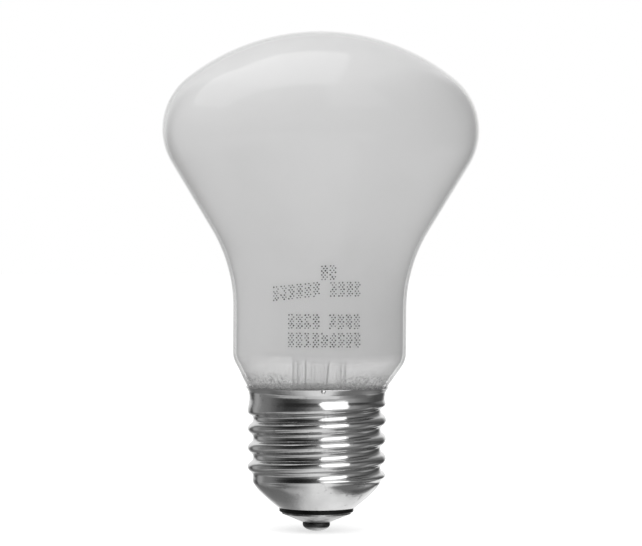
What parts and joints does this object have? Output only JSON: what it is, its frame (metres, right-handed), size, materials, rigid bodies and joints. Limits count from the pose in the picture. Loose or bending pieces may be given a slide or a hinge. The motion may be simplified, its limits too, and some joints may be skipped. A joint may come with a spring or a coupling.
{
  "type": "dead light bulb",
  "caption": "Burnt-out opal filament lamp: mushroom-shaped glass bulb on a medium screw cap, with its stem, leads and broken filament inside.",
  "frame": {"origin": "tip of the centre contact, on the screw cap's axis", "axes": "+Z along the cap's axis towards the glass crown; -Y is the front, where the side lead is soldered to the lip"},
  "size_m": [0.0602, 0.0602, 0.0951],
  "materials": {
    "opal_glass": "clear blown glass with a soft white coat inside, bare at the foot of the neck",
    "stem_glass": "clear lead glass, fire polished",
    "lead_nickel": "drawn nickel wire",
    "lead_copper": "dull copper wire",
    "support_metal": "dark drawn molybdenum wire",
    "tungsten": "coiled tungsten, burnt dark",
    "cap_metal": "nickel-plated rolled sheet with light scuffs",
    "cement": "rough buff basing cement",
    "black_glass": "black insulating glass, glossy",
    "contact_metal": "dull plated contact plate",
    "solder": "dull grey solder"
  },
  "bodies": {
    "root": {"glass_bulb": "opal_glass", "stem_flare": "stem_glass", "exhaust_tube": "stem_glass", "support_rod": "stem_glass", "seal_wire_left": "lead_copper", "seal_wire_right": "lead_copper", "inner_lead_left": "lead_nickel", "inner_lead_right": "lead_nickel", "support_wire_left": "support_metal", "support_wire_middle": "support_metal", "support_wire_right": "support_metal", "filament_left": "tungsten", "filament_right": "tungsten", "fuse_wire": "lead_nickel", "centre_lead": "lead_copper", "side_lead": "lead_copper", "screw_shell": "cap_metal", "basing_cement": "cement", "insulator": "black_glass", "contact_plate": "contact_metal", "centre_solder": "solder", "side_solder": "solder"}
  },
  "joints": []
}
